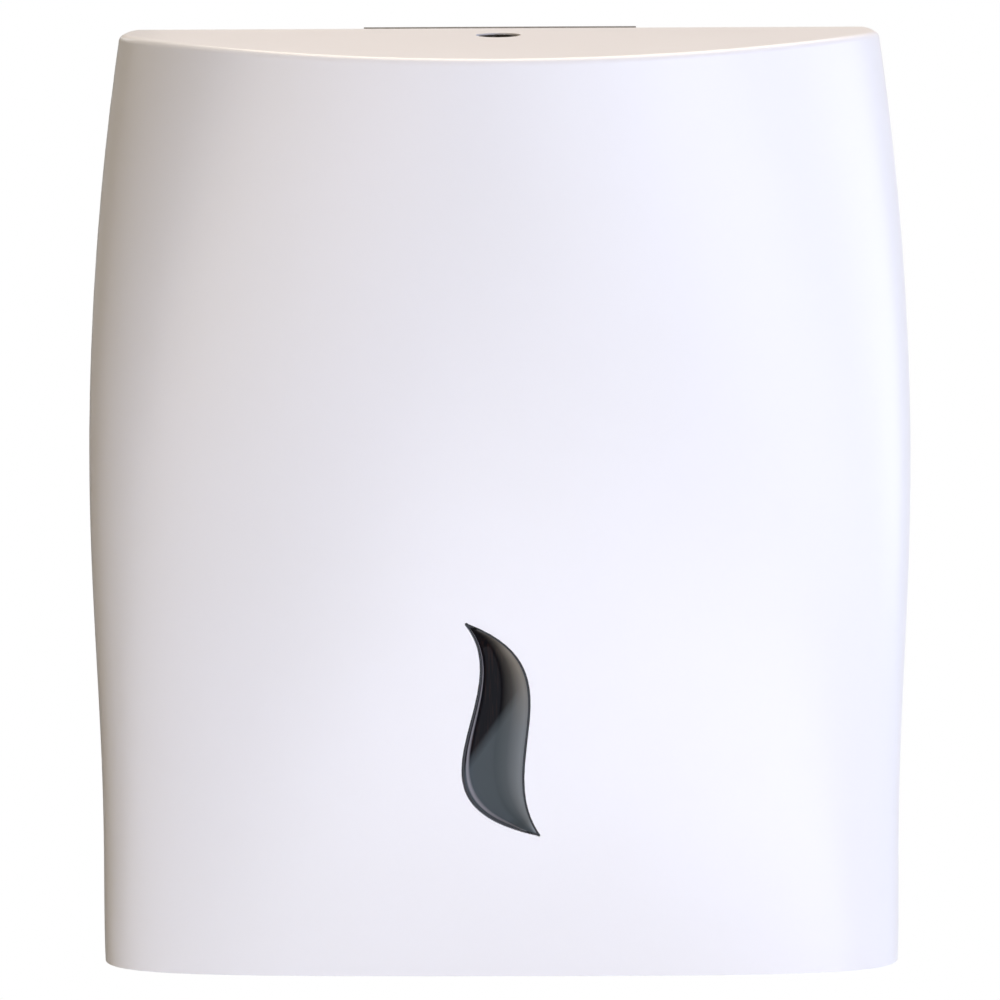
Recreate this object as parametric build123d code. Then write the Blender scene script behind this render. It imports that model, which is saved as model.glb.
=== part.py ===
from build123d import *
from math import atan, cos, degrees, radians, sin
import os

# A wall-mounted dispenser for folded paper towels: a back plate with a dispensing tray,
# and a bottom-hinged front cover with a sight window and a cam lock in its top wall.
# +X is to the right, +Y into the wall, +Z up. The wall is the plane Y = 0, and heights in
# this file count from the foot of the cover; save() moves them to the middle of the screws.

# ---- driving dimensions, in millimetres -------------------------------------------------

# outer form of the cover
HEIGHT = 295.0              # foot to the rear of the top
FOOT_HALF_WIDTH = 126.7     # the sides stand straight in this lowest part
FOOT_STRAIGHT = 42.0        # height of that straight part
BELLY_HALF_WIDTH = 130.4
BELLY_HEIGHT = 160.0        # where the cover is widest and deepest
CROWN_HALF_WIDTH = 121.4
FOOT_DEPTH = 99.0
BELLY_DEPTH = 105.0
CROWN_DEPTH = 98.0
CROWN_DROP = 9.5            # fall of the top from its rear to its front edge
CROWN_FILLET = 2.5
FOOT_SIDE = 76.0            # straight side of the plan section, at the foot and the crown
CROWN_SIDE = 36.0
FOOT_CORNER = 22.0          # pull of the plan corner along the side
CROWN_CORNER = 16.0
FOOT_FRONT = 95.0           # pull of the plan corner along the front
CROWN_FRONT = 75.0
SECTIONS = 8                # plan sections that the form is lofted through

# cover shell
WALL = 2.5
REAR_GAP = 1.5              # cover's rear edge to the wall
HEM = 1.5                   # extra thickness of the rim round the foot
HEM_HEIGHT = 3.5

# hinge
HINGE_REACH = 11.5          # axis to the cover's rear edge and to its foot
PIN_RADIUS = 2.5
PIN_CLEARANCE = 0.06
PIN_HEAD_RADIUS = 4.0
PIN_HEAD = 1.2
KNUCKLE_RADIUS = 6.5        # hinge boss inside the cover's side wall
KNUCKLE_GAP = 0.9           # boss to the cheek

# back plate
PLATE = 2.5
RIM = 2.0                   # thickness of the rim round the plate
RIM_DEPTH = 14.0
BASE_GAP = 1.3              # rim to the inside of the cover
RIM_FOOT = 26.0             # the rim ends this far above the foot, clear of the hinges
LIP_HALF_WIDTH = 45.0       # raised lip along the middle of the plate's top edge
LIP_RISE = 0.5
LIP = 1.0
RAIL_COUNT = 5              # upright rails that the towels slide on
RAIL_SPACING = 37.5
RAIL_WIDTH = 2.4
RAIL_HEIGHT = 2.0
RAIL_EASE = 1.0             # rounding of a rail's front edges
RAIL_TOP = 258.0
RAIL_GROOVE = 1.2           # hollow behind each rail, which keeps the moulding even
RAIL_GROOVE_DEPTH = 2.6
SCREW_SPACING_X = 150.0
SCREW_SPACING_Z = 180.0
SCREW_HOLE_RADIUS = 2.5
SCREW_BOSS_RADIUS = 8.0
SCREW_BOSS = 2.0
SCREW_SEAT_RADIUS = 5.0
SCREW_SEAT = 1.6

# side cheeks of the back plate, which keep the towels in and carry the tray and hinges
CHEEK_ROOM = 6.7            # cheek to the inside of the cover, where the hinge bosses run
CHEEK = 3.0
CHEEK_REACH = 79.0          # wall to the front of a cheek
CHEEK_FOOT = 1.6
CHEEK_FRONT_HEIGHT = 34.0
CHEEK_TOP = 176.0
CHEEK_SWEEP = ((-71.0, 86.0), (-18.0, 88.0))    # pulls of its swept front edge
KNUCKLE_SWING = 1.2         # free space round a hinge boss, in the rim and the plate

# dispensing tray
TRAY_GAP = 1.2
TRAY_FLOOR = 2.5
TRAY_TOP = 12.0             # upper face of the floor
TRAY_FOOT = 2.0
TRAY_SKIRT = 2.0
TRAY_REAR = 3.2             # wall to the tray's rear edge
TRAY_EAR = 2.5
TRAY_EAR_TOP = 28.0
TRAY_EAR_REACH = (21.2, 73.0)       # wall to the rear and the front of an ear
TRAY_EAR_CORNER = 5.0
TRAY_SIDE_GAP = 0.1         # ear to its cheek
TRAY_PIN_GAP = 0.8          # notch round the head of a hinge pin
MOUTH_LENGTH = 126.0
MOUTH_WIDTH = 26.0
MOUTH_END_RADIUS = 18.0
MOUTH_CENTRE = 54.0         # wall to the middle of the mouth
MOUTH_COLLAR = 2.2
MOUTH_WAIST_FILLET = 14.0
MOUTH_LIP = 1.2

# small fasteners
SCREW_RADIUS = 1.5
SCREW_HEAD_RADIUS = 3.0
SCREW_HEAD = 1.8
SCREW_CROWN = 0.7           # slope round the top of a head
TRAY_SCREW_REACH = (38.0, 70.0)
TRAY_SCREW_HEIGHT = 20.5

# sight window, in the plane that touches the cover's front at its middle
WINDOW_HEIGHT = 79.0
TIP_TOP = (-9.9, 33.9)
TIP_FOOT = (12.1, -33.2)
LEFT_PULL = ((7.7, 11.2), (-36.1, -22.4))
RIGHT_PULL = ((27.1, 19.8), (-3.2, -10.1))
TIP_WIDTH = 0.9
TIP_ROUND = 0.4             # bulge of a tip, as a share of its width
WINDOW_CLEARANCE = 0.15
PANE_SET_BACK = 0.3
PANE_BACK = 4.4             # front of the cover to the pane's rear face
DISH_DEPTH = 2.9
DISH_RIM = 0.5              # flat edge between the outline and the dish
DISH_ENDS = (0.03, 0.975)   # where the dish starts and ends along the S
DISH_LEFT = (1.3, 1.5)      # width of the steep slope at the upper and the lower pull
DISH_RIGHT = (6.0, 3.6)     # the same of the broad slope
DISH_STEPS = 3              # steps that the hollow slope is lofted through
FLANGE = 2.4
STAKE_RADIUS = 1.2
STAKE_CLEARANCE = 0.12
STAKE_HEAD_RADIUS = 2.2
STAKE_HEAD = 0.9
STAKE_OFFSET = 3.4
STAKE_LUG = 3.0
STAKE_PLACES = (0.2, 0.8)   # along each long edge of the window

# cam lock, on an upright axis
LOCK_REACH = 47.5           # wall to the middle of the lock's face
LOCK_SINK = 0.4             # top of the cover to the lock's face
LOCK_FACE_RADIUS = 6.9
LOCK_FACE = 1.6
LOCK_RADIUS = 5.8
LOCK_LENGTH = 15.8
LOCK_EDGE = 0.5
LOCK_SEAT_CLEARANCE = 0.25
LOCK_BOSS_RADIUS = 11.0
LOCK_BOSS = 5.5             # top of the cover to the underside of the boss
PLUG_RADIUS = 4.4
PLUG_CLEARANCE = 0.06
PLUG_SINK = 0.3             # barrel's face to the plug's face
PLUG_TAIL = 5.0             # square tail
TAIL_SHORT = 0.2            # tail to the far face of the cam
TAIL_GAP = 0.1
KEY_SLOT = (1.6, 5.6, 9.0)  # width, length and depth
WASHER_RADIUS = 9.0
WASHER = 0.8
WASHER_GAP = 0.1
NUT_FLATS = 17.0
NUT = 3.5
STOP_RADIUS = 7.2
STOP = 1.0
CAM = 2.0
CAM_WIDTH = 10.0
CAM_REACH = 22.0

# keeper that the cam turns behind
KEEPER = 1.5
KEEPER_HEIGHT = 13.0
KEEPER_MOUTH = 10.0         # middle of the lock to the keeper's near edge
KEEPER_BACK = 24.0          # middle of the lock to the keeper's arm
KEEPER_GAP = 2.4            # cam to the keeper's hook
KEEPER_FOOT = 15.0
KEEPER_BOSS_RADIUS = 4.5
KEEPER_BOSS = 5.0
KEEPER_SCREW_SPACING = 16.0
KEEPER_FOOT_MARGIN = 4.5    # screws to the ends of the keeper's foot
KEEPER_BEND = 2.0
KEEPER_CORNER = 3.0

# ---- places that follow from them -------------------------------------------------------

HINGE_Y = -(REAR_GAP + HINGE_REACH)
HINGE_Z = HINGE_REACH
COVER_INSIDE = FOOT_HALF_WIDTH - WALL
CHEEK_OUTSIDE = COVER_INSIDE - CHEEK_ROOM
BAY_HALF_WIDTH = CHEEK_OUTSIDE - CHEEK
SPAN = BELLY_HALF_WIDTH + 20        # wide enough to cut right across

# depths below the top's outer face, along the lock's axis
LOCK_END = LOCK_SINK + LOCK_LENGTH
NUT_TOP = LOCK_BOSS + WASHER
CAM_TOP = LOCK_END + STOP
CAM_FOOT = CAM_TOP + CAM

# the lock stands square to the top, which falls to the front
LOCK_LEAN = degrees(atan(2 * CROWN_DROP * LOCK_REACH / CROWN_DEPTH**2))
LOCK_TOP_Z = HEIGHT - CROWN_DROP * (LOCK_REACH / CROWN_DEPTH) ** 2
LOCK_PLACE = Pos(0, -LOCK_REACH, LOCK_TOP_Z) * Rot(LOCK_LEAN, 0, 0)
CAM_MIDDLE = (LOCK_PLACE * Pos(0, 0, -(CAM_TOP + CAM_FOOT) / 2)).position


HANGING = (Align.CENTER, Align.CENTER, Align.MAX)


# ---- outer form -------------------------------------------------------------------------

def half_width(z):
    """Straight at the foot, swelling to the belly, drawn in again at the crown."""
    if z < BELLY_HEIGHT:
        t = min(max((z - FOOT_STRAIGHT) / (BELLY_HEIGHT - FOOT_STRAIGHT), 0), 1)
        return FOOT_HALF_WIDTH + (BELLY_HALF_WIDTH - FOOT_HALF_WIDTH) * t * t * (3 - 2 * t)
    t = (z - BELLY_HEIGHT) / (HEIGHT - BELLY_HEIGHT)
    return BELLY_HALF_WIDTH - (BELLY_HALF_WIDTH - CROWN_HALF_WIDTH) * t * t


def front_depth(z):
    """Wall to the middle of the front, deepest at the belly."""
    if z < BELLY_HEIGHT:
        end, t = FOOT_DEPTH, (BELLY_HEIGHT - z) / BELLY_HEIGHT
    else:
        end, t = CROWN_DEPTH, (z - BELLY_HEIGHT) / (HEIGHT - BELLY_HEIGHT)
    return BELLY_DEPTH - (BELLY_DEPTH - end) * t * t


def foot_to_crown(foot, crown, z):
    return foot + (crown - foot) * (max(z, 0) / HEIGHT) ** 2


def inset_polygon(points, inset):
    """Move an open control polygon to its right, square to each of its legs."""
    legs = [(b - a).normalized() for a, b in zip(points, points[1:])]
    normals = [Vector(leg.Y, -leg.X) for leg in legs]
    moved = [points[0] + normals[0] * inset]
    for point, before, after in zip(points[1:], normals, normals[1:]):
        moved.append(point + (before + after) * (inset / (1 + before.dot(after))))
    return moved + [points[-1] + normals[-1] * inset]


def plan_section(z, inset, rear):
    """Section of the form at one height: straight sides and one curve round each corner."""
    side = foot_to_crown(FOOT_SIDE, CROWN_SIDE, z)
    width, depth = half_width(z), front_depth(z)
    right = inset_polygon([
        Vector(width, -side),
        Vector(width, -side - foot_to_crown(FOOT_CORNER, CROWN_CORNER, z)),
        Vector(foot_to_crown(FOOT_FRONT, CROWN_FRONT, z), -depth),
        Vector(0, -depth),
    ], inset)
    left = [Vector(-p.X, p.Y) for p in reversed(right)]
    corner_right, corner_left = (width - inset, rear), (inset - width, rear)
    outline = [
        Line(corner_right, right[0]),
        Bezier(*right),
        Bezier(*left),
        Line(left[-1], corner_left),
        Line(corner_left, corner_right),
    ]
    return Pos(0, 0, z) * make_face(Curve() + outline)


def crown_height(y):
    return HEIGHT - CROWN_DROP * (y / CROWN_DEPTH) ** 2


def side_profile(inset, foot, rear, corner):
    """Everything under the falling top, with a round lower rear corner if one is given."""
    front = -(BELLY_DEPTH + 10)
    back = rear + 5
    fall = CROWN_DROP / CROWN_DEPTH**2
    top_back = (back, crown_height(back) - inset)
    top_front = (front, crown_height(front) - inset)
    middle = ((front + back) / 2, HEIGHT - inset - fall * front * back)
    outline = Curve() + [
        Bezier(top_back, middle, top_front),
        Polyline(top_front, (front, foot), (back, foot), top_back),
    ]
    profile = make_face(outline)
    if corner:
        square = Pos(rear, foot) * Rectangle(corner, corner, align=(Align.MAX, Align.MIN))
        round_part = Pos(rear - corner, foot + corner) * Circle(corner)
        beyond = Pos(rear, foot) * Rectangle(10, HEIGHT, align=(Align.MIN, Align.MIN))
        profile = profile - (square - round_part) - beyond
    return extrude(Plane.YZ * profile, SPAN, both=True)


def form(inset=0.0, foot=0.0, rear=-REAR_GAP, corner=0.0):
    """The cover's outer form, drawn in by inset at its sides, front and top."""
    low, high = -2, HEIGHT + 6
    heights = [low + (high - low) * i / (SECTIONS - 1) for i in range(SECTIONS)]
    body = loft([plan_section(z, inset, rear) for z in heights])
    return body & side_profile(inset, foot, rear, corner)


def slab(low, high, reach_low, reach_high, half=SPAN):
    """A box between two heights and two distances from the wall."""
    size = (2 * half, reach_high - reach_low, high - low)
    return Pos(0, -(reach_low + reach_high) / 2, (low + high) / 2) * Box(*size)


def along_x(x, y, z, radius, length):
    """A cylinder along +X that starts at x."""
    return Pos(x, y, z) * Rot(0, 90, 0) * Cylinder(
        radius, length, align=(Align.CENTER, Align.CENTER, Align.MIN))


def along_y(x, y, z, radius, length):
    """A cylinder towards the room that starts at y."""
    return Pos(x, y, z) * Rot(90, 0, 0) * Cylinder(
        radius, length, align=(Align.CENTER, Align.CENTER, Align.MIN))


def down_from(depth, radius, length):
    """A cylinder on the lock's own axis that hangs from a depth below the top."""
    return Pos(0, 0, -depth) * Cylinder(
        radius, length, align=(Align.CENTER, Align.CENTER, Align.MAX))


# ---- sight window -----------------------------------------------------------------------

def window_plane():
    """Plane that touches the cover's front at the middle of the window."""
    step = 1.0
    slope = (front_depth(WINDOW_HEIGHT + step) - front_depth(WINDOW_HEIGHT - step)) / (2 * step)
    origin = (0, -front_depth(WINDOW_HEIGHT), WINDOW_HEIGHT)
    return Plane(origin, x_dir=(1, 0, 0), z_dir=(0, -1, -slope))


def edge_polygons():
    """Control polygons of the two long edges of the S, from the top to the foot."""
    polygons = []
    for side, pulls in ((-1, LEFT_PULL), (1, RIGHT_PULL)):
        tip = Vector(side * TIP_WIDTH / 2, 0)
        points = [Vector(*TIP_TOP) + tip, Vector(*pulls[0]), Vector(*pulls[1]), Vector(*TIP_FOOT) + tip]
        polygons.append((side, points))
    return polygons


def stretch(polygon, start, end):
    """Control polygon of the part of an edge between two shares of its length."""
    def mixed(*shares):
        points = polygon
        for share in shares:
            points = [a + (b - a) * share for a, b in zip(points, points[1:])]
        return points[0]
    return [mixed(start, start, start), mixed(start, start, end),
            mixed(start, end, end), mixed(end, end, end)]


def window_edges(grow=0.0):
    return [Bezier(*inset_polygon(points, -side * grow)) for side, points in edge_polygons()]


def face_between(edge_left, edge_right):
    """Area between the two long edges, closed by a small round tip at each end."""
    tips = []
    for end, away in ((0, -1), (1, 1)):
        start, stop = edge_left @ end, edge_right @ end
        onwards = (edge_left % end + edge_right % end).normalized() * away
        bulge = onwards * (stop - start).length * TIP_ROUND
        tips.append(ThreePointArc(start, (start + stop) / 2 + bulge, stop))
    return make_face(Curve() + [edge_left, edge_right] + tips)


def window_face(grow=0.0):
    return face_between(*window_edges(grow))


def dish_face(share):
    """Outline of the dish where its slopes have run in by a share of their width."""
    edges = []
    for (side, points), widths in zip(edge_polygons(), (DISH_LEFT, DISH_RIGHT)):
        rim = inset_polygon(stretch(points, *DISH_ENDS), side * DISH_RIM)
        upper, lower = [inset_polygon(rim, side * width * share) for width in widths]
        edges.append(Bezier(rim[0], upper[1], lower[2], rim[3]))
    return face_between(*edges)


def stake_places():
    """Heat stakes stand beside both long edges of the window."""
    edge_left, edge_right = window_edges()
    places = []
    for edge, side in ((edge_left, -1), (edge_right, 1)):
        for place in STAKE_PLACES:
            tangent = edge % place
            away = Vector(-tangent.Y, tangent.X) * side
            places.append(edge @ place + away * STAKE_OFFSET)
    return places


def stakes(radius, start, end):
    """Round posts square to the window's plane, between two depths below it."""
    posts = [Pos(p.X, p.Y, -end) * Cylinder(
        radius, end - start, align=(Align.CENTER, Align.CENTER, Align.MIN))
        for p in stake_places()]
    return window_plane() * (Part() + posts)


def window_prism(face, start, end):
    """A window outline carried from one depth below the window's plane to another."""
    return window_plane() * Pos(0, 0, -end) * extrude(face, end - start)


def make_dish():
    """Scoop with a hollow slope: steep at its rim and level where it meets the floor."""
    turns = [radians(90 * i / DISH_STEPS) for i in range(DISH_STEPS + 1)]
    scoop = loft([Pos(0, 0, -DISH_DEPTH * sin(t)) * dish_face(1 - cos(t)) for t in turns])
    return window_plane() * scoop + window_prism(dish_face(0), -1, 0)


def make_sight_window():
    plug = window_prism(window_face(), -3, PANE_BACK) & form(PANE_SET_BACK)
    collar = window_face(FLANGE) + [
        Pos(p.X, p.Y) * Circle(STAKE_LUG) for p in stake_places()]
    flange = window_prism(collar, 1, PANE_BACK) & form(WALL + 0.02)
    holes = stakes(STAKE_RADIUS + STAKE_CLEARANCE, 0, PANE_BACK + 1)
    return plug + flange - make_dish() - holes


# ---- cover ------------------------------------------------------------------------------

def make_front_cover():
    outer = form(corner=HINGE_REACH)
    top = outer.faces().sort_by(Axis.Z)[-1]
    rims = [e for e in top.edges() if e.center().Y < -REAR_GAP - 1]
    outer = fillet(rims, CROWN_FILLET)
    inner = form(WALL, foot=-1, rear=2)
    cover = outer - inner

    hem = form(WALL - 0.5) - form(WALL + HEM, foot=-1, rear=2)
    hem &= slab(0, HEM_HEIGHT, FOOT_SIDE / 2, BELLY_DEPTH)
    cover += hem

    length = CHEEK_ROOM - KNUCKLE_GAP
    start = COVER_INSIDE - length
    for side in (1, -1):
        knuckle = along_x(start, HINGE_Y, HINGE_Z, KNUCKLE_RADIUS, length + WALL / 2)
        bore = along_x(start, HINGE_Y, HINGE_Z, PIN_RADIUS + PIN_CLEARANCE, length)
        if side < 0:
            knuckle, bore = knuckle.mirror(Plane.YZ), bore.mirror(Plane.YZ)
        cover = cover + knuckle - bore

    cover += LOCK_PLACE * down_from(WALL / 2, LOCK_BOSS_RADIUS, LOCK_BOSS - WALL / 2)
    seat = LOCK_SINK + LOCK_FACE
    cover -= LOCK_PLACE * down_from(-5, LOCK_FACE_RADIUS + LOCK_SEAT_CLEARANCE, seat + 5)
    cover -= LOCK_PLACE * down_from(0, LOCK_RADIUS + LOCK_SEAT_CLEARANCE, LOCK_BOSS + 1)

    cover -= window_prism(window_face(WINDOW_CLEARANCE), -3, WALL + 4)
    cover += stakes(STAKE_RADIUS, WALL / 2, PANE_BACK + STAKE_HEAD / 2)
    cover += stakes(STAKE_HEAD_RADIUS, PANE_BACK + 0.03, PANE_BACK + STAKE_HEAD)
    return cover


# ---- base -------------------------------------------------------------------------------

def cheek_profile():
    """Side view of a cheek: low and deep at the tray, swept back up the plate."""
    front, foot = -CHEEK_REACH, CHEEK_FOOT
    low, high = (front, CHEEK_FRONT_HEIGHT), (-RIM_DEPTH, CHEEK_TOP)
    sweep = Bezier(low, *CHEEK_SWEEP, high)
    outline = Curve() + [
        sweep,
        Polyline(high, (-PLATE / 2, CHEEK_TOP), (-PLATE / 2, HINGE_Z * 2)),
        Polyline((-PLATE / 2, HINGE_Z * 2), (-PLATE / 2, foot), (front, foot), low),
    ]
    return Plane.YZ * make_face(outline)


def make_back_plate():
    hull = form(WALL + BASE_GAP, foot=CHEEK_FOOT, rear=0)
    plate = hull & slab(CHEEK_FOOT, HEIGHT, 0, PLATE)
    rim = hull - form(WALL + BASE_GAP + RIM, foot=0, rear=1)
    rim &= slab(RIM_FOOT, HEIGHT, 0, RIM_DEPTH)
    base = plate + rim

    lip_low = HEIGHT - WALL - BASE_GAP - PLATE
    base += slab(lip_low, HEIGHT + LIP_RISE, 0, LIP, LIP_HALF_WIDTH)

    # no rim or plate may stand in the way of the cover's hinge bosses
    for side in (1, -1):
        clear = along_x(CHEEK_OUTSIDE, HINGE_Y, HINGE_Z, KNUCKLE_RADIUS + KNUCKLE_SWING,
                        CHEEK_ROOM + 8)
        base -= clear if side > 0 else clear.mirror(Plane.YZ)

    cheek = Pos(BAY_HALF_WIDTH, 0, 0) * extrude(cheek_profile(), CHEEK)
    hole = along_x(BAY_HALF_WIDTH - 1, HINGE_Y, HINGE_Z, PIN_RADIUS, CHEEK + 2)
    for reach in TRAY_SCREW_REACH:
        hole += along_x(BAY_HALF_WIDTH - 1, -reach, TRAY_SCREW_HEIGHT, SCREW_RADIUS, CHEEK + 2)
    cheek -= hole
    base = base + cheek + cheek.mirror(Plane.YZ)

    rail_foot, rail_middle = TRAY_EAR_TOP, (RAIL_TOP + TRAY_EAR_TOP) / 2
    for i in range(RAIL_COUNT):
        x = (i - (RAIL_COUNT - 1) / 2) * RAIL_SPACING
        rail = Box(RAIL_WIDTH, RAIL_HEIGHT + PLATE / 2, RAIL_TOP - rail_foot)
        rail = fillet(rail.edges().filter_by(Axis.Z).group_by(Axis.Y)[0], RAIL_EASE)
        base += Pos(x, -PLATE - RAIL_HEIGHT / 2 + PLATE / 4, rail_middle) * rail
        groove = Box(RAIL_GROOVE, RAIL_GROOVE_DEPTH, RAIL_TOP - rail_foot - 2 * RAIL_WIDTH,
                     align=(Align.CENTER, Align.MAX, Align.CENTER))
        base -= Pos(x, 0, rail_middle) * groove

    middle = HEIGHT / 2
    for x in (-SCREW_SPACING_X / 2, SCREW_SPACING_X / 2):
        for z in (middle - SCREW_SPACING_Z / 2, middle + SCREW_SPACING_Z / 2):
            base += along_y(x, -PLATE / 2, z, SCREW_BOSS_RADIUS, SCREW_BOSS + PLATE / 2)
            base -= along_y(x, 1, z, SCREW_HOLE_RADIUS, PLATE + SCREW_BOSS + 2)
            seat = -(PLATE + SCREW_BOSS - SCREW_SEAT)
            base -= along_y(x, seat, z, SCREW_SEAT_RADIUS, SCREW_SEAT + 1)

    for x, z in keeper_screw_places():
        base += along_y(x, -PLATE / 2, z, KEEPER_BOSS_RADIUS, KEEPER_BOSS + PLATE / 2)
        base -= along_y(x, -PLATE, z, SCREW_RADIUS, KEEPER_BOSS + 1)
    return base


def mouth_face():
    """Long mouth with a round lobe at each end for the fingers."""
    lobe = MOUTH_LENGTH / 2 - MOUTH_END_RADIUS
    face = Rectangle(2 * lobe, MOUTH_WIDTH)
    face += [Pos(x, 0) * Circle(MOUTH_END_RADIUS) for x in (-lobe, lobe)]
    waist = [v for v in face.vertices() if abs(v.X) < lobe]
    return Pos(0, -MOUTH_CENTRE) * fillet(waist, MOUTH_WAIST_FILLET)


def make_dispensing_tray():
    inset = WALL + HEM + TRAY_GAP
    hull = form(inset, foot=TRAY_FOOT, rear=-TRAY_REAR)
    inside = form(inset + TRAY_SKIRT, foot=0, rear=-TRAY_REAR - TRAY_SKIRT)
    floor = hull & slab(TRAY_TOP - TRAY_FLOOR, TRAY_TOP, 0, BELLY_DEPTH)
    skirt = (hull - inside) & slab(TRAY_FOOT, TRAY_TOP - TRAY_FLOOR / 2, 0, BELLY_DEPTH)
    tray = floor + skirt

    # behind the cheeks' front edge the tray lies between the cheeks
    ear_outside = BAY_HALF_WIDTH - TRAY_SIDE_GAP
    ear_rear, ear_front = TRAY_EAR_REACH
    for side in (1, -1):
        cut = Box(SPAN - ear_outside, CHEEK_REACH + TRAY_PIN_GAP, HEIGHT,
                  align=(Align.MIN, Align.MAX, Align.CENTER))
        cut = Pos(ear_outside, 0, 0) * cut
        ear = Box(TRAY_EAR, ear_front - ear_rear, TRAY_EAR_TOP - TRAY_FOOT,
                  align=(Align.MAX, Align.MIN, Align.MIN))
        ear = Pos(ear_outside, -ear_front, TRAY_FOOT) * ear
        ear = fillet(ear.edges().filter_by(Axis.X).group_by(Axis.Z)[-1], TRAY_EAR_CORNER)
        for reach in TRAY_SCREW_REACH:
            ear -= along_x(ear_outside - TRAY_EAR - 1, -reach, TRAY_SCREW_HEIGHT,
                           SCREW_RADIUS, TRAY_EAR + 2)
        cut += along_x(BAY_HALF_WIDTH - PIN_HEAD - TRAY_PIN_GAP, HINGE_Y, HINGE_Z,
                       PIN_HEAD_RADIUS + TRAY_PIN_GAP, PIN_HEAD + 5)
        if side < 0:
            cut, ear = cut.mirror(Plane.YZ), ear.mirror(Plane.YZ)
        tray = tray - cut + ear

    mouth = mouth_face()
    collar = offset(mouth, MOUTH_COLLAR)
    tray += Pos(0, 0, TRAY_FOOT + 1) * extrude(collar, TRAY_TOP - TRAY_FOOT - 2)
    tray -= Pos(0, 0, TRAY_FOOT - 1) * extrude(mouth, TRAY_TOP - TRAY_FOOT + 2)
    lip = [e for e in tray.edges()
           if abs(e.center().Z - TRAY_TOP) < 0.01 and abs(e.center().X) < MOUTH_LENGTH / 2 + 0.1
           and abs(e.center().Y + MOUTH_CENTRE) < MOUTH_END_RADIUS + 0.1]
    return chamfer(lip, MOUTH_LIP)


def tray_screw(x, y, z):
    """Pan-head screw along +X with its head outside the cheek."""
    head = along_x(0, 0, 0, SCREW_HEAD_RADIUS, SCREW_HEAD)
    head = chamfer(head.edges().filter_by(GeomType.CIRCLE).sort_by(Axis.X)[-1], SCREW_CROWN)
    shank = along_x(-CHEEK - TRAY_EAR, 0, 0, SCREW_RADIUS, CHEEK + TRAY_EAR)
    return Pos(x, y, z) * (head + shank)


def make_tray_screws():
    screws = []
    for reach in TRAY_SCREW_REACH:
        screw = tray_screw(CHEEK_OUTSIDE, -reach, TRAY_SCREW_HEIGHT)
        screws += [screw, screw.mirror(Plane.YZ)]
    return Compound(children=screws)


def make_hinge_pin():
    """Shouldered pin, headed inside its cheek."""
    head = along_x(BAY_HALF_WIDTH - PIN_HEAD, HINGE_Y, HINGE_Z, PIN_HEAD_RADIUS, PIN_HEAD)
    end = COVER_INSIDE - 0.4
    shaft = along_x(BAY_HALF_WIDTH - PIN_HEAD, HINGE_Y, HINGE_Z, PIN_RADIUS,
                    end - BAY_HALF_WIDTH + PIN_HEAD)
    pin = head + shaft
    return chamfer(pin.edges().filter_by(GeomType.CIRCLE).sort_by(Axis.X)[-1], 0.5)


# ---- lock, drawn on its own axis from the top's outer face down -------------------------

def make_lock_barrel():
    barrel = down_from(LOCK_SINK, LOCK_FACE_RADIUS, LOCK_FACE)
    barrel = chamfer(barrel.edges().filter_by(GeomType.CIRCLE).sort_by(Axis.Z)[-1], LOCK_EDGE)
    barrel += down_from(LOCK_SINK + LOCK_FACE, LOCK_RADIUS, LOCK_LENGTH - LOCK_FACE)
    return barrel - down_from(LOCK_SINK, PLUG_RADIUS + PLUG_CLEARANCE, LOCK_LENGTH)


def make_lock_plug():
    plug = down_from(LOCK_SINK + PLUG_SINK, PLUG_RADIUS, LOCK_LENGTH - PLUG_SINK)
    tail = STOP + CAM - TAIL_SHORT
    plug += Pos(0, 0, -LOCK_END) * Box(PLUG_TAIL, PLUG_TAIL, tail, align=HANGING)
    plug -= Pos(0, 0, -LOCK_SINK) * Box(*KEY_SLOT, align=HANGING)
    return plug - down_from(LOCK_END, SCREW_RADIUS, tail)


def make_lock_washer():
    return down_from(LOCK_BOSS, WASHER_RADIUS, WASHER) - down_from(
        LOCK_BOSS, LOCK_RADIUS + WASHER_GAP, WASHER)


def make_lock_nut():
    hexagon = RegularPolygon(NUT_FLATS / 2, 6, major_radius=False)
    return Pos(0, 0, -NUT_TOP - NUT) * extrude(hexagon, NUT) - down_from(
        NUT_TOP, LOCK_RADIUS, NUT)


def tail_hole(depth, thickness):
    size = PLUG_TAIL + TAIL_GAP
    return Pos(0, 0, -depth) * Box(size, size, thickness, align=HANGING)


def make_stop_washer():
    washer = down_from(LOCK_END + TAIL_GAP / 2, STOP_RADIUS, STOP - TAIL_GAP / 2)
    return washer - tail_hole(LOCK_END, STOP)


def make_lock_cam():
    """Flat steel arm that points to the wall while the cover is unlocked."""
    arm = SlotCenterPoint((0, 0), ((CAM_REACH - CAM_WIDTH / 2) / 2, 0), CAM_WIDTH)
    blade = Rot(0, 0, 90) * extrude(arm, CAM)
    return Pos(0, 0, -CAM_FOOT) * blade - tail_hole(CAM_TOP, CAM)


def make_cam_screw():
    head = down_from(CAM_FOOT, SCREW_HEAD_RADIUS + 1, SCREW_HEAD)
    head = chamfer(head.edges().filter_by(GeomType.CIRCLE).sort_by(Axis.Z)[0], SCREW_CROWN)
    return head + down_from(LOCK_END, SCREW_RADIUS, STOP + CAM)


# ---- keeper -----------------------------------------------------------------------------

KEEPER_SEAT_Y = -(PLATE + KEEPER_BOSS)
HOOK_Y = CAM_MIDDLE.Y - CAM_WIDTH / 2 - KEEPER_GAP


def keeper_screw_places():
    x = KEEPER_BACK + KEEPER + KEEPER_FOOT / 2
    return [(x, CAM_MIDDLE.Z - KEEPER_SCREW_SPACING / 2),
            (x, CAM_MIDDLE.Z + KEEPER_SCREW_SPACING / 2)]


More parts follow.
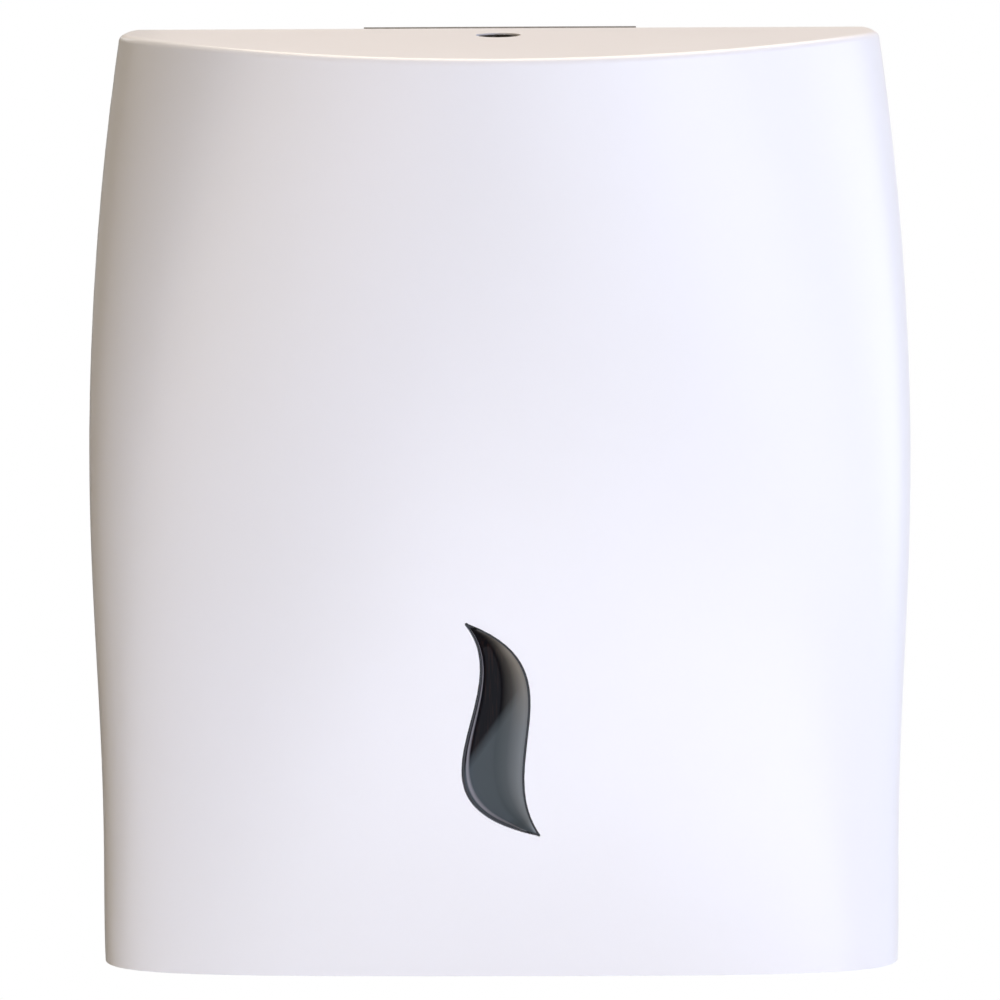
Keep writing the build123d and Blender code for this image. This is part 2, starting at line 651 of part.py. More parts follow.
def make_keeper():
    """Bent steel strip: a foot on the plate, an arm to the front and a hook across the cam."""
    outer_x = KEEPER_BACK + KEEPER
    centre = Polyline(
        (outer_x + KEEPER_FOOT, KEEPER_SEAT_Y - KEEPER / 2),
        (KEEPER_BACK + KEEPER / 2, KEEPER_SEAT_Y - KEEPER / 2),
        (KEEPER_BACK + KEEPER / 2, HOOK_Y - KEEPER / 2),
        (KEEPER_MOUTH, HOOK_Y - KEEPER / 2),
    )
    strip = trace(fillet(centre.vertices(), KEEPER_BEND), KEEPER)
    foot_height = KEEPER_SCREW_SPACING + 2 * KEEPER_FOOT_MARGIN
    keeper = Pos(0, 0, CAM_MIDDLE.Z - KEEPER_HEIGHT / 2) * extrude(strip, KEEPER_HEIGHT)
    foot = Box(KEEPER_FOOT - KEEPER_CORNER, KEEPER, foot_height,
               align=(Align.MAX, Align.MAX, Align.CENTER))
    foot = fillet(foot.edges().filter_by(Axis.Y), KEEPER_CORNER)
    keeper += Pos(outer_x + KEEPER_FOOT, KEEPER_SEAT_Y, CAM_MIDDLE.Z) * foot
    for x, z in keeper_screw_places():
        keeper -= along_y(x, KEEPER_SEAT_Y + 1, z, SCREW_RADIUS + 0.2, KEEPER + 2)
    return keeper


def make_keeper_screws():
    screws = []
    for x, z in keeper_screw_places():
        head = along_y(x, KEEPER_SEAT_Y - KEEPER, z, SCREW_HEAD_RADIUS, SCREW_HEAD)
        head = chamfer(head.edges().filter_by(GeomType.CIRCLE).sort_by(Axis.Y)[0], SCREW_CROWN)
        screws.append(head + along_y(x, -PLATE, z, SCREW_RADIUS, KEEPER_BOSS + KEEPER))
    return Compound(children=screws)


# ---- files ------------------------------------------------------------------------------

def save(name, shape):
    """Write one piece, with the origin at the middle of the wall screws."""
    placed = Pos(0, 0, -HEIGHT / 2) * shape
    placed.label = name
    export_step(placed, f"parts/{name}.step")


os.makedirs("parts", exist_ok=True)
save("back_plate", make_back_plate())
save("dispensing_tray", make_dispensing_tray())
save("tray_screws", make_tray_screws())
pin = make_hinge_pin()
save("hinge_pin_right", pin)
save("hinge_pin_left", pin.mirror(Plane.YZ))
save("keeper", make_keeper())
save("keeper_screws", make_keeper_screws())
save("front_cover", make_front_cover())
save("sight_window", make_sight_window())
save("lock_barrel", LOCK_PLACE * make_lock_barrel())
save("lock_washer", LOCK_PLACE * make_lock_washer())
save("lock_nut", LOCK_PLACE * make_lock_nut())
save("lock_plug", LOCK_PLACE * make_lock_plug())
save("stop_washer", LOCK_PLACE * make_stop_washer())
save("lock_cam", LOCK_PLACE * make_lock_cam())
save("cam_screw", LOCK_PLACE * make_cam_screw())
print(f"lock leans {LOCK_LEAN:.4f} degrees through {tuple(round(c, 3) for c in CAM_MIDDLE)}")
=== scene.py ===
# White wall-mounted dispenser for folded paper towels: finishes, small pieces, light and camera
import math

import bmesh
import bpy
from mathutils import Matrix, Vector


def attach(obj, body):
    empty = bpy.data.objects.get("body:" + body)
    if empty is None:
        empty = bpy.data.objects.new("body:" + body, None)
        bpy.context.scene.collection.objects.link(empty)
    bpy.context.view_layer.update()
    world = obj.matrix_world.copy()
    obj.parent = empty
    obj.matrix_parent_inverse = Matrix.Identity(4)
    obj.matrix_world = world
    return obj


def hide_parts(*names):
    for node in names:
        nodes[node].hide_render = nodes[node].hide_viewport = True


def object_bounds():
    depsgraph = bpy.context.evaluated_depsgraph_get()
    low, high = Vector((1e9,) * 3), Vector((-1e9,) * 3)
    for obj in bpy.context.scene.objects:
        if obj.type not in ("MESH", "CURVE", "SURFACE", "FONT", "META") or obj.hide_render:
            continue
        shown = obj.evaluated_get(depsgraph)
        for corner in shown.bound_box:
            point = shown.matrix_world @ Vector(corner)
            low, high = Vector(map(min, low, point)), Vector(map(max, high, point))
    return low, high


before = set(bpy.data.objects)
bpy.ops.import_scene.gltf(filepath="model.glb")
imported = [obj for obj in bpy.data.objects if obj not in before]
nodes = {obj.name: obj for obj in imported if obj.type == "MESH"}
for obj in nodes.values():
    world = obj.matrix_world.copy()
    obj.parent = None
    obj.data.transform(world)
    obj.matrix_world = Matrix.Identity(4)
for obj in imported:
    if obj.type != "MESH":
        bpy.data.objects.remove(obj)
cadLow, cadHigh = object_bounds()
print("frame loaded:", len(nodes), "nodes")


class Socket:  # a shader value that is added, subtracted and scaled like a number
    def __init__(self, maker, socket):
        self.maker, self.socket = maker, socket

    def __add__(self, other):
        return self.maker.maths("ADD", self, other)

    __radd__ = __add__

    def __sub__(self, other):
        return self.maker.maths("SUBTRACT", self, other)

    def __rsub__(self, other):
        return self.maker.maths("SUBTRACT", other, self)

    def __mul__(self, other):
        return self.maker.maths("MULTIPLY", self, other)

    __rmul__ = __mul__

    def __truediv__(self, other):
        return self.maker.maths("DIVIDE", self, other)

    def __rtruediv__(self, other):
        return self.maker.maths("DIVIDE", other, self)

    def clamped(self):
        return self.maker.node("Clamp", {}, {"Value": self})


class Finish:  # the nodes of one material, or of the world
    def __init__(self, name, world=None):
        self.block = world or bpy.data.materials.new(name)
        self.block.use_nodes = True
        self.tree = self.block.node_tree
        self.tree.nodes.clear()

    def plug(self, target, value):
        if isinstance(value, Socket):
            self.tree.links.new(value.socket, target)
        elif isinstance(value, tuple) and len(value) < len(target.default_value):
            target.default_value = (*value, 1.0)  # a colour without its alpha
        else:
            target.default_value = value

    def fillRamp(self, ramp, stops):
        while len(ramp.elements) < len(stops):
            ramp.elements.new(0.5)
        for element, (place, shade) in zip(ramp.elements, stops):
            element.position = place
            element.color = (shade, shade, shade, 1)

    def node(self, kind, settings=None, inputs=None, output=0):
        made = self.tree.nodes.new("ShaderNode" + kind)
        for name, value in (settings or {}).items():
            if name == "stops":
                self.fillRamp(made.color_ramp, value)
            else:
                setattr(made, name, value)
        for name, value in (inputs or {}).items():
            self.plug(made.inputs[name], value)
        if isinstance(output, list):  # several outputs at once
            return [Socket(self, made.outputs[name]) for name in output]
        return Socket(self, made.outputs[output]) if len(made.outputs) else None

    def maths(self, operation, first, second):
        return self.node("Math", {"operation": operation}, {0: first, 1: second})

    def place(self):  # position on the object, in metres
        return self.node("TexCoord", output="Object")

    def stretched(self, scale):  # that position, scaled along x, y and z
        return self.node("Mapping", {}, {"Vector": self.place(), "Scale": scale})

    def parts(self, vector, names):  # those of its X, Y and Z that are named
        return self.node("SeparateXYZ", {}, {0: vector}, list(names))

    def noise(self, texture, place=None):  # texture is its scale, detail and roughness
        scale, detail, roughness = texture
        inputs = {"Scale": scale, "Detail": detail, "Roughness": roughness}
        return self.node("TexNoise", {}, {**inputs, "Vector": place or self.place()})

    def ramp(self, value, stops):
        return self.node("ValToRGB", {"stops": stops}, {"Fac": value})

    def rise(self, value, span):  # 0 to 1 while the value crosses the span
        return self.ramp(value, [(span[0], 0.0), (span[1], 1.0)])

    def mixColour(self, factor, first, second):  # 6, 7 and 2 are the node's colour sockets
        return self.node("Mix", {"data_type": "RGBA"}, {0: factor, 6: first, 7: second}, 2)

    def bump(self, height, relief):  # relief is its strength, and its depth in metres
        strength, depth = relief
        return self.node("Bump", {}, {"Height": height, "Strength": strength, "Distance": depth})

    def surface(self, **inputs):  # the shader, with its sockets named by their words
        words = {name.replace("_", " "): value for name, value in inputs.items()}
        shader = self.node("BsdfPrincipled", {}, words)
        self.node("OutputMaterial", {}, {"Surface": shader})
        return self.block


def uneven(roughness, noise):  # its level, moved up and down by the noise
    level, drift = roughness
    return level + (noise - 0.5) * drift


coverLook = {
    "white": (0.795, 0.805, 0.885),
    "creamy": (0.785, 0.795, 0.865),    # faint drift of tone in the moulding
    "drift": (9.0, 3.0, 0.5),
    "driftSpan": (0.35, 0.65),
    "roughness": (0.30, 0.05),
    "handling": (35.0, 4.0, 0.6),       # where hands have dulled it a little
    "peel": (900.0, 2.0, 0.5),          # orange peel of the moulded skin
    "peelRelief": (0.15, 0.00002),
    "ior": 1.53,
}


def coverPlastic():
    look = coverLook
    finish = Finish("coverPlastic")
    drift = finish.rise(finish.noise(look["drift"]), look["driftSpan"])
    colour = finish.mixColour(drift, look["white"], look["creamy"])
    roughness = uneven(look["roughness"], finish.noise(look["handling"]))
    normal = finish.bump(finish.noise(look["peel"]), look["peelRelief"])
    return finish.surface(Base_Color=colour, Roughness=roughness, Normal=normal, IOR=look["ior"])


baseLook = {
    "grey": (0.286, 0.276, 0.260),
    "pale": (0.326, 0.314, 0.296),
    "drift": (14.0, 3.0, 0.5),
    "driftSpan": (0.3, 0.7),
    "roughness": (0.42, 0.12),
    "grain": (1800.0, 2.0, 0.6),        # fine texture of the mould
    "grainRelief": (0.5, 0.00004),
}


def basePlastic():
    look = baseLook
    finish = Finish("basePlastic")
    drift = finish.rise(finish.noise(look["drift"]), look["driftSpan"])
    colour = finish.mixColour(drift, look["grey"], look["pale"])
    grain = finish.noise(look["grain"])
    roughness = uneven(look["roughness"], grain)
    normal = finish.bump(grain, look["grainRelief"])
    return finish.surface(Base_Color=colour, Roughness=roughness, Normal=normal)


paneLook = {
    "smoke": (0.014, 0.015, 0.019),
    "haze": (220.0, 4.0, 0.6),
    "roughness": (0.10, 0.06),
    "gloss": 0.14,
}


def smokedPane():
    look = paneLook
    finish = Finish("smokedPane")
    roughness = uneven(look["roughness"], finish.noise(look["haze"]))
    return finish.surface(Base_Color=look["smoke"], Roughness=roughness,
                          Specular_IOR_Level=look["gloss"])


scoopLook = {                           # painted reflection: tones of the hollow that stand in for the light and shade it mirrors
    "empty": (0.004, 0.004, 0.006),     # painted shade: the dark upper part
    "paintedLight": (0.066, 0.081, 0.094),       # painted light: the paler lower part
    "middle": (0.0027, -0.0603),        # x and z of a point on the border between them, in metres
    "slant": (0.814, -0.581),           # the way across that border
    "soft": 0.0030,                     # its width
    "shift": 0.15,
    "border": [(0.0, 0.0), (0.35, 0.45), (1.0, 1.0)],
    "streak": (0.050, 0.022, 0.016),    # faint brown streaks in the dark part
    "streakNoise": (1.0, 3.0, 0.6),
    "streakStretch": (1500.0, 1500.0, 60.0),
    "streakSpan": (0.50, 0.72),
    "streakShare": 0.3,
    "rimReflectionTop": (0.250, 0.238, 0.222),   # painted reflection: a pale band along the right rim, from the upper tip down
    "rimReflectionFoot": (0.215, 0.242, 0.275),
    "rimReflectionSpan": (0.22, 0.55),           # where one turns into the other, as a share of the S
    "rimReflectionAcross": [(0.50, 0.0), (0.70, 0.22), (0.84, 0.62), (0.95, 1.0), (1.0, 0.85)],
    "rimReflectionAlong": [(0.03, 0.3), (0.14, 1.0)],
    "rimHighlight": (0.280, 0.270, 0.300),      # painted highlight: a thin light band inside the left rim
    "rimHighlightLean": 0.4,                    # the less, the more it leaves the rim towards the foot
    "rimHighlightAcross": [(0.015, 0.0), (0.035, 1.0), (0.055, 0.8), (0.085, 0.0)],
    "haze": (260.0, 4.0, 0.6),
    "roughness": (0.10, 0.08),
    "gloss": 0.03,
}


def smokedScoop():
    look = scoopLook
    finish = Finish("smokedScoop")
    x, z = finish.parts(finish.place(), "XZ")
    across, along = finish.parts(finish.node("TexCoord", output="UV"), "XY")
    # painted light and shade: dark above and paler below a slanted border across the hollow
    (middleX, middleZ), (slantX, slantZ) = look["middle"], look["slant"]
    beyond = (x - middleX) * slantX + (z - middleZ) * slantZ
    paintedLight = finish.ramp(beyond / look["soft"] + look["shift"], look["border"])
    paintedReflection = finish.mixColour(paintedLight, look["empty"], look["paintedLight"])
    streakNoise = finish.noise(look["streakNoise"], finish.stretched(look["streakStretch"]))
    streaks = finish.rise(streakNoise, look["streakSpan"]) * (1 - paintedLight) * look["streakShare"]
    paintedReflection = finish.mixColour(streaks, paintedReflection, look["streak"])
    # painted reflection: a pale band along the right rim, warm above and cooler towards the foot
    change = finish.rise(along, look["rimReflectionSpan"])
    rimReflectionTone = finish.mixColour(change, look["rimReflectionTop"], look["rimReflectionFoot"])
    edge = finish.ramp(across, look["rimReflectionAcross"]) * finish.ramp(along, look["rimReflectionAlong"])
    tone = finish.mixColour(edge, paintedReflection, rimReflectionTone)
    # painted highlight: a thin light band inside the left rim, further from it towards the foot
    rimHighlight = finish.ramp(across / (along + look["rimHighlightLean"]), look["rimHighlightAcross"])
    tone = finish.mixColour(rimHighlight, tone, look["rimHighlight"])
    roughness = uneven(look["roughness"], finish.noise(look["haze"]))
    return finish.surface(Base_Color=tone, Roughness=roughness,
                          Specular_IOR_Level=look["gloss"])


nickelLook = {
    "plate": (0.055, 0.050, 0.046),     # dark plating, kept this dark also as a painted reflection of dark surroundings
    "worn": (0.30, 0.28, 0.25),         # worn bright in faint smears by the key
    "grazing": (0.30, 0.28, 0.26),
    "smears": (420.0, 5.0, 0.62),
    "wornSpan": (0.56, 0.78),
    "wornShare": 0.6,
    "roughness": (0.16, 0.16),          # the least, and what the smears add
    "relief": (0.08, 0.00002),
}

threadLook = {                          # in metres
    "axis": 0.0463,                     # middle of the barrel to the wall
    "top": 0.1404,                      # underside of the barrel's head
    "fade": 0.0006,
    "pitch": 0.001,
    "relief": (1.0, 0.00035),
}


def threads(finish):
    look = threadLook
    x, y, z = finish.parts(finish.place(), "XYZ")
    turn = finish.maths("ARCTAN2", x, y + look["axis"]) / (2 * math.pi)
    wave = finish.maths("PINGPONG", z / look["pitch"] + turn, 0.5)  # up and down once in a pitch
    below = finish.rise((look["top"] - z) / look["fade"], (0.0, 1.0))
    return finish.bump(wave * below, look["relief"])


def nickel(name, threaded):
    look = nickelLook
    finish = Finish(name)
    smears = finish.noise(look["smears"])
    worn = finish.rise(smears, look["wornSpan"]) * look["wornShare"]
    colour = finish.mixColour(worn, look["plate"], look["worn"])
    least, added = look["roughness"]
    normal = threads(finish) if threaded else finish.bump(smears, look["relief"])
    return finish.surface(Base_Color=colour, Metallic=1.0, Roughness=least + smears * added,
                          Specular_Tint=look["grazing"], Normal=normal)


zincLook = {
    "zinc": (0.50, 0.51, 0.52),
    "warm": (0.57, 0.53, 0.45),
    "blotches": (240.0, 3.0, 0.5),
    "blotchSpan": (0.4, 0.62),
    "grain": (1.0, 4.0, 0.65),
    "sheet": (300.0, 300.0, 2600.0),    # how the grain is stretched on bent sheet
    "turned": (1500.0, 1500.0, 1500.0),
    "roughness": (0.28, 0.22),          # the least, and what the grain adds
    "relief": (0.3, 0.00002),
}


def zinc(name, stretch):
    look = zincLook
    finish = Finish(name)
    grain = finish.noise(look["grain"], finish.stretched(stretch))
    blotches = finish.rise(finish.noise(look["blotches"]), look["blotchSpan"])
    colour = finish.mixColour(blotches, look["zinc"], look["warm"])
    least, added = look["roughness"]
    normal = finish.bump(grain, look["relief"])
    return finish.surface(Base_Color=colour, Metallic=1.0, Roughness=least + grain * added,
                          Normal=normal)


white = coverPlastic()
grey = basePlastic()
smoke = smokedPane()
scoopSmoke = smokedScoop()
barrelNickel = nickel("barrelNickel", True)
plugNickel = nickel("plugNickel", False)
sheetZinc = zinc("zincSheet", zincLook["sheet"])
turnedZinc = zinc("zincTurned", zincLook["turned"])

wears = {
    "front_cover": white,
    "sight_window": smoke,
    "back_plate": grey,
    "dispensing_tray": grey,
    "lock_barrel": barrelNickel,
    "lock_plug": plugNickel,
    "keeper": sheetZinc,
    "lock_cam": sheetZinc,
    "tray_screws": turnedZinc,
    "keeper_screws": turnedZinc,
    "cam_screw": turnedZinc,
    "lock_nut": turnedZinc,
    "lock_washer": turnedZinc,
    "stop_washer": turnedZinc,
    "hinge_pin_left": turnedZinc,
    "hinge_pin_right": turnedZinc,
}
for name, finish in wears.items():
    for slot in nodes[name].material_slots:
        slot.material = finish
print("finishes:", len(set(wears.values())), "on", len(wears), "nodes")

perMetre = 1000                         # the pieces below are drawn in millimetres


def addObject(name, data):
    thing = bpy.data.objects.new(name, data)
    bpy.context.collection.objects.link(thing)
    return thing


def smoothPiece(name, mesh, finish, crease):  # smooth, but for edges beyond the crease angle
    mesh.polygons.foreach_set("use_smooth", [True] * len(mesh.polygons))
    mesh.set_sharp_from_angle(angle=math.radians(crease))
    mesh.materials.append(finish)
    return addObject(name, mesh)


scoop = {                               # polished hollow of the sight window
    "origin": (0.0, -103.46, -68.5),
    "lean": 0.038,                      # how far the cover's front leans there
    "left": ((-8.46, 32.09), (5.45, 9.68), (-31.59, -20.86), (8.37, -31.87)),
    "right": ((-6.55, 32.13), (23.67, 18.22), (-1.94, -9.25), (11.02, -31.71)),
    "rows": 84,
    "columns": 30,
    "depth": 2.75,
    "depthShare": 0.42,                 # depth over width where the S runs narrow
    "tips": 12.0,                       # it reaches that depth a twelfth of the S in from a tip
    "steep": 0.13,                      # share of the width under the steep left slope
    "broad": 0.62,                      # the same under the broad right slope
    "lift": 0.03,
    "past": 0.011,                      # run past each tip, as a share of the S
    "beside": 0.25,                     # rim to the place where the pane's face is measured
    "above": 3.0,                       # height that it is measured from
    "crease": 60.0,
}
scoopOrigin = Vector(scoop["origin"])
scoopUp = Vector((0, -scoop["lean"], 1)).normalized()
scoopOut = Vector((0, -1, -scoop["lean"])).normalized()


def onScoop(x, y, height):
    return scoopOrigin + Vector((x, 0, 0)) + scoopUp * y + scoopOut * height


def paneHeight(x, y):  # of the pane's own face, which the rim lies on
    above = onScoop(x, y, scoop["above"]) / perMetre
    place = nodes["sight_window"].ray_cast(above, -scoopOut)[1]
    return (place * perMetre - scoopOrigin).dot(scoopOut) + scoop["lift"]


def bezier(points, t):
    while len(points) > 1:
        points = [a.lerp(b, t) for a, b in zip(points, points[1:])]
    return points[0]


def hollow(u):  # depth across the scoop, from 0 at a rim to 1 along the floor
    if u < scoop["steep"]:
        return math.sin(math.pi / 2 * u / scoop["steep"])
    into = max(0.0, u - 1 + scoop["broad"]) / scoop["broad"]
    return math.cos(math.pi / 2 * into)


def makeScoop():
    rows, columns, past, tips = (scoop[word] for word in ("rows", "columns", "past", "tips"))
    left, right = ([Vector(point) for point in scoop[side]] for side in ("left", "right"))
    points, marks = [], []
    for row in range(rows + 1):
        t = (1 + 2 * past) * row / rows - past
        start, end = bezier(left, t), bezier(right, t)
        deep = min(scoop["depth"], scoop["depthShare"] * (end - start).length)
        deep *= math.sin(math.pi / 2 * min(1.0, tips * row / rows, tips * (1 - row / rows)))
        startHeight = paneHeight(start.x - scoop["beside"], start.y)
        endHeight = paneHeight(end.x + scoop["beside"], end.y)
        for column in range(columns + 1):
            u = column / columns
            rim, share = startHeight + (endHeight - startHeight) * u, hollow(u)
            flat = start.lerp(end, u)
            points.append(onScoop(flat.x, flat.y, rim * (1 - share) - deep * share) / perMetre)
            marks.append((u, t))
    wide = columns + 1
    corners = (row * wide + column for row in range(rows) for column in range(columns))
    mesh = bpy.data.meshes.new("sightWindowScoop")
    mesh.from_pydata(points, [], [(i, i + wide, i + wide + 1, i + 1) for i in corners])
    piece = smoothPiece("sightWindowScoop", mesh, scoopSmoke, scoop["crease"])
    layer = mesh.uv_layers.new(name="acrossAlong")
    for loop in mesh.loops:
        layer.data[loop.index].uv = marks[loop.vertex_index]
    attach(piece, "cover")


lockTop = Vector((0, -47.5, 145.27))    # where the lock's axis meets the top
lockDown = Vector((0, 0.09356, -0.99561))

screwLook = {
    "segments": 48,
    "shank": 1.5,                       # its radius
    "rounding": 0.45,                   # share of a head's height that is rounded
    "spread": 1.5,                      # run of the rounding over its height
    "dome": 5,                          # rings over the rounding
    "arm": (0.155, 0.56),               # half width and length of the cross, over the head's radius
    "recess": 0.62,                     # depth of the cross over the head's height
    "taper": 0.55,
    "crease": 35.0,
}

screws = {                              # seat and facing of each head; its radius, height and shank
    "tray_screws": ([((side * 117.5, -reach, -127.0), (side, 0, 0))
                     for side in (-1, 1) for reach in (38.0, 70.0)], (3.0, 1.8, 5.5)),
    "keeper_screws": ([((33.0, -9.0, 127.15 + step), (0, -1, 0)) for step in (-8.0, 8.0)],
                      (3.0, 1.8, 6.5)),
    "cam_screw": ([(lockTop + lockDown * 19.2, lockDown)], (4.0, 1.8, 3.0)),
}


def standing(seat, facing):  # the frame in which a turned piece stands on its seat
    return Matrix.Translation(seat) @ Vector(facing).to_track_quat("Z", "X").to_matrix().to_4x4()


def addPoint(mesh, place, radius, angle, height):
    spot = Vector((radius * math.cos(angle), radius * math.sin(angle), height))
    return mesh.verts.new(place @ spot)


def ringOf(mesh, place, radius, height, count):
    return [addPoint(mesh, place, radius, 2 * math.pi * i / count, height) for i in range(count)]


def joinRings(mesh, lower, upper):
    for i in range(len(lower)):
        j = (i + 1) % len(lower)
        mesh.faces.new((lower[i], lower[j], upper[j], upper[i]))


def crossOf(mesh, place, half, reach, height):
    corners = [(reach, -half), (reach, half), (half, half)]
    spots = [Matrix.Rotation(math.pi / 2 * quarter, 3, "Z") @ Vector((x, y, height))
             for quarter in range(4) for x, y in corners]
    return [mesh.verts.new(place @ spot) for spot in spots]


def addScrew(mesh, seat, facing, radius, high, shank):
    look, place = screwLook, standing(seat, facing)
    edge = high * look["rounding"]
    profile = [(look["shank"], -shank), (look["shank"], 0.0), (radius, 0.0), (radius, high - edge)]
    for step in range(1, look["dome"] + 1):
        angle = math.pi / 2 * step / look["dome"]
        inward = edge * look["spread"] * (1 - math.cos(angle))
        profile.append((radius - inward, high - edge + edge * math.sin(angle)))
    rings = [ringOf(mesh, place, r, z, look["segments"]) for r, z in profile]
    mesh.faces.new(rings[0][::-1])
    for lower, upper in zip(rings, rings[1:]):
        joinRings(mesh, lower, upper)
    half, reach = (share * radius for share in look["arm"])
    mouth = crossOf(mesh, place, half, reach, high)
    half, reach = half * look["taper"], reach * look["taper"]
    bottom = crossOf(mesh, place, half, reach, high * (1 - look["recess"]))
    joinRings(mesh, bottom, mouth)
    mesh.faces.new(bottom)
    edges = [mesh.edges.get(pair) or mesh.edges.new(pair)
             for loop in (rings[-1], mouth) for pair in zip(loop, loop[1:] + loop[:1])]
    bmesh.ops.triangle_fill(mesh, use_beauty=True, edges=edges)


def turnedPiece(name, mesh, crease):
    bmesh.ops.recalc_face_normals(mesh, faces=mesh.faces)
    bmesh.ops.scale(mesh, vec=[1 / perMetre] * 3, verts=mesh.verts)
    block = bpy.data.meshes.new(name)
    mesh.to_mesh(block)
    mesh.free()
    return smoothPiece(name, block, turnedZinc, crease)


def makeScrews():
    for node, (heads, sizes) in screws.items():
        mesh = bmesh.new()
        for seat, facing in heads:
            addScrew(mesh, seat, facing, *sizes)
        piece = turnedPiece(node + "Crossed", mesh, screwLook["crease"])
        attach(piece, "lock" if node == "cam_screw" else "base")
        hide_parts(node)


nutLook = {
    "flats": 17.0,
    "bore": 5.8,                        # its radius
    "depth": 6.3,                       # its upper face below the top, along the lock
    "height": 3.5,
    "segments": 72,
    "steps": (0.0, 0.15, 0.3, 0.45, 0.6),   # rings over the turned-back corners at either face
    "slope": 1.9,                       # run of those corners over their height
    "ease": 0.4,                        # bevel of the bore
    "crease": 25.0,
}


def hexRing(mesh, place, height):
    count, flat = nutLook["segments"], nutLook["flats"] / 2
    turnedBack = flat + min(height, nutLook["height"] - height) * nutLook["slope"]
    ring = []
    for i in range(count):
        angle = 2 * math.pi * i / count
        reach = flat / math.cos((angle + math.pi / 6) % (math.pi / 3) - math.pi / 6)
        ring.append(addPoint(mesh, place, min(reach, turnedBack), angle, height))
    return ring


def makeNut():
    mesh = bmesh.new()
    place = standing(lockTop + lockDown * nutLook["depth"], lockDown)
    high, steps, ease = nutLook["height"], nutLook["steps"], nutLook["ease"]
    heights = [*steps, *(high - step for step in steps[::-1])]
    outer = [hexRing(mesh, place, height) for height in heights]
    bore = [ringOf(mesh, place, nutLook["bore"] + wider, height, nutLook["segments"])
            for wider, height in ((ease, 0.0), (0.0, ease), (0.0, high - ease), (ease, high))]
    around = [*outer, *bore[::-1]]
    for lower, upper in zip(around, around[1:] + around[:1]):
        joinRings(mesh, lower, upper)
    piece = turnedPiece("lockNutTurned", mesh, nutLook["crease"])
    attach(piece, "cover")
    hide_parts("lock_nut")


makeScoop()
makeScrews()
makeNut()
print("pieces made:", len(screws) + 2)

plainWhite = (1.0, 1.0, 1.0)

floorLook = {
    "drop": 0.36,                       # foot of the dispenser to the floor
    "radius": 1.1,
    "segments": 96,
    "paper": (0.80, 0.80, 0.80),
    "shadow": 0.25,                     # share of the shaded paper that shows under the dispenser
    "fade": (0.45, 0.95),               # reach over which it fades to plain white
}


def whiteRays(finish):  # rays that find the plain white background
    seen = ["Is Camera Ray", "Is Glossy Ray", "Is Transmission Ray"]
    straight, mirrored, through = finish.node("LightPath", {}, {}, seen)
    return (straight + mirrored + through).clamped()


def floorPaper():
    look = floorLook
    finish = Finish("floorPaper")
    reach = finish.node("VectorMath", {"operation": "LENGTH"}, {0: finish.place()}, "Value")
    near, far = look["fade"]
    rim = ((reach - near) / (far - near)).clamped()
    share = 1 - look["shadow"] * (1 - rim)
    paper = finish.node("BsdfDiffuse", {}, {"Color": look["paper"]})
    glow = finish.node("Emission", {}, {"Color": plainWhite})
    top = finish.node("MixShader", {}, {0: whiteRays(finish) * share, 1: paper, 2: glow})
    underside = finish.node("NewGeometry", output="Backfacing")
    clear = finish.node("BsdfTransparent")
    sides = finish.node("MixShader", {}, {0: underside, 1: top, 2: clear})
    finish.node("OutputMaterial", {}, {"Surface": sides})
    return finish.block


def makeFloor():
    look = floorLook
    mesh = bpy.data.meshes.new("floor")
    disc = bmesh.new()
    bmesh.ops.create_circle(disc, cap_ends=True, segments=look["segments"], radius=look["radius"])
    disc.to_mesh(mesh)
    disc.free()
    mesh.materials.append(floorPaper())
    floor = addObject("floor", mesh)
    floor.location.z = cadLow.z - look["drop"]


worldLook = {
    "light": (1.0, 0.76, 0.38),
    "level": 0.093,
}


def makeWorld():
    world = bpy.data.worlds.new("studioWorld")
    bpy.context.scene.world = world
    look = worldLook
    finish = Finish(world.name, world)
    light = finish.node("Background", {}, {"Color": look["light"], "Strength": look["level"]})
    glow = finish.node("Background", {}, {"Color": plainWhite})
    mixed = finish.node("MixShader", {}, {0: whiteRays(finish), 1: light, 2: glow})
    finish.node("OutputWorld", {}, {"Surface": mixed})


cool, warm = (0.82, 0.87, 1.0), (1.0, 0.76, 0.38)
sunny, pale = (1.0, 0.86, 0.70), (0.94, 0.96, 1.0)
lamps = {                               # place, size, watts and colour of each soft box
    "left": ((-1.30, -1.98, 1.10), 2.20, 14.2, warm),
    "front": ((1.17, -2.08, 0.86), 2.20, 23.6, cool),
    "quarter": ((1.85, -1.6, 0.65), 2.00, 12.6, cool),
    "right": ((2.46, -0.05, 0.43), 1.40, 15.8, cool),
    "above": ((0.20, 0.80, 2.40), 2.20, 57.0, sunny),
    "below": ((0.30, -1.40, -0.8), 1.40, 27.0, cool),
    "rear": ((-0.95, 2.20, 0.50), 1.60, 36.0, pale),
}


def makeLamps():
    middle = (cadLow + cadHigh) / 2
    for name, (place, size, watts, colour) in lamps.items():
        light = bpy.data.lights.new(name, "AREA")
        light.shape, light.size, light.energy, light.color = "SQUARE", size, watts, colour
        lamp = addObject(name, light)
        lamp.location = place
        lamp.rotation_euler = (middle - Vector(place)).to_track_quat("-Z", "Y").to_euler()


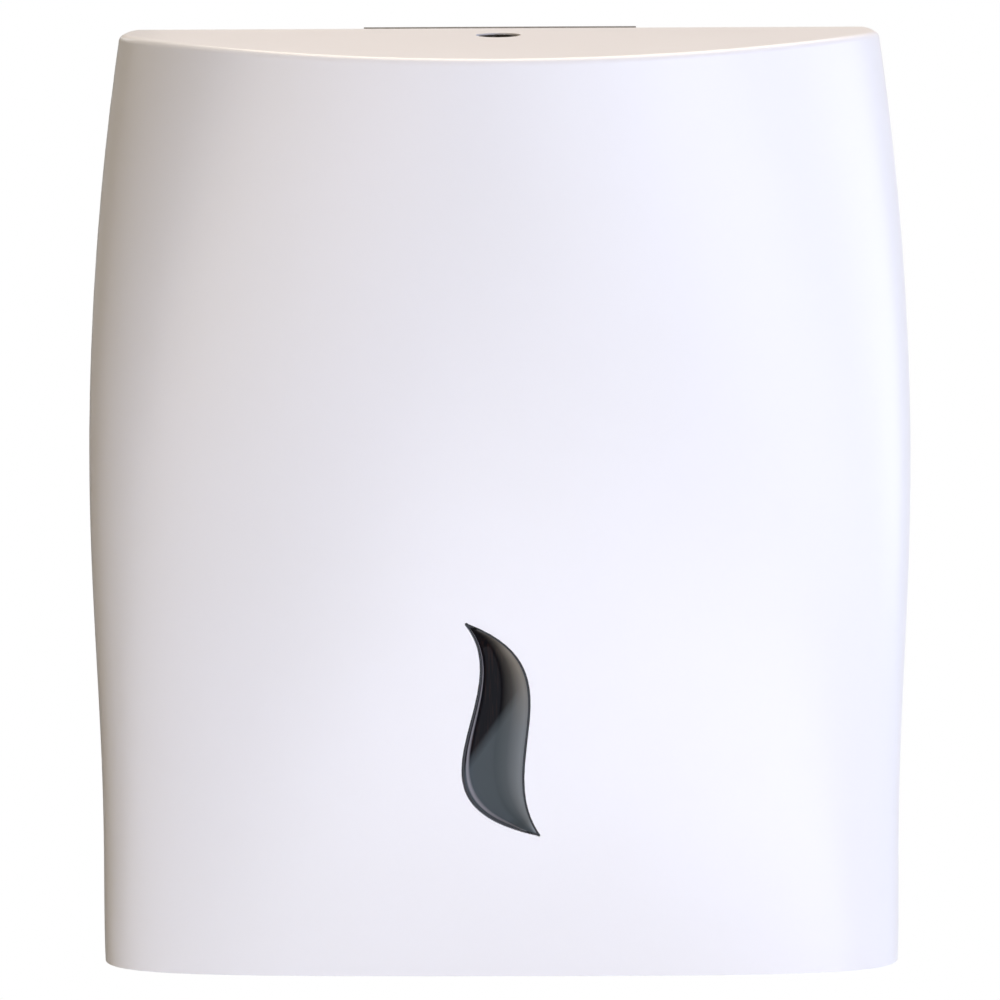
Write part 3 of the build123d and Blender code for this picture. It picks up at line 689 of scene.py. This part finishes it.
cards = {                               # upright panels that only the gloss sees
    "cardLeft": {"ends": ((-0.20, 0.75), (-0.95, 0.10)), "low": -0.6, "high": 0.36,
                 "glow": (0.0, 0.0, 0.0)},
    "cardSide": {"ends": ((-0.95, 0.10), (-1.05, -0.55)), "low": -0.6, "high": 1.0,
                 "glow": (0.0, 0.0, 0.0)},
    "cardBehind": {"ends": ((0.75, 1.3), (-1.0, 1.3)), "low": 0.16, "high": 1.0,
                   "glow": (0.50, 0.44, 0.40)},
}


def makeCards():
    for name, look in cards.items():
        (x1, y1), (x2, y2) = look["ends"]
        low, high = look["low"], look["high"]
        mesh = bpy.data.meshes.new(name)
        mesh.from_pydata([(x1, y1, low), (x2, y2, low), (x2, y2, high), (x1, y1, high)],
                         [], [(0, 1, 2, 3)])
        finish = Finish(name)
        glow = finish.node("Emission", {}, {"Color": look["glow"]})
        finish.node("OutputMaterial", {}, {"Surface": glow})
        mesh.materials.append(finish.block)
        card = addObject(name, mesh)
        card.visible_camera = card.visible_diffuse = card.visible_shadow = False


eye = {
    "place": (0.0134, -1.150, 0.1451),
    "pitch": 7.51,                      # degrees below level
    "yaw": 0.70,                        # degrees to the left
    "roll": -0.262,
    "focalShare": 3.4433,               # focal length over the frame's width
    "frameWidth": 36.0,
    "shiftY": -0.01055,
    "near": 0.05,
    "far": 60.0,
}


def makeCamera():
    data = bpy.data.cameras.new("eye")
    data.sensor_width = eye["frameWidth"]
    data.lens = eye["focalShare"] * data.sensor_width
    data.shift_y = eye["shiftY"]
    data.clip_start, data.clip_end = eye["near"], eye["far"]
    camera = addObject("eye", data)
    camera.location = eye["place"]
    yaw, pitch, roll = (Matrix.Rotation(math.radians(angle), 4, axis) for angle, axis in (
        (eye["yaw"], "Z"), (90.0 - eye["pitch"], "X"), (eye["roll"], "Z")))
    camera.rotation_euler = (yaw @ pitch @ roll).to_euler()
    bpy.context.scene.camera = camera


makeFloor()
makeWorld()
makeLamps()
makeCards()
makeCamera()
bpy.context.scene.view_settings.view_transform = "Standard"
print("studio ready")
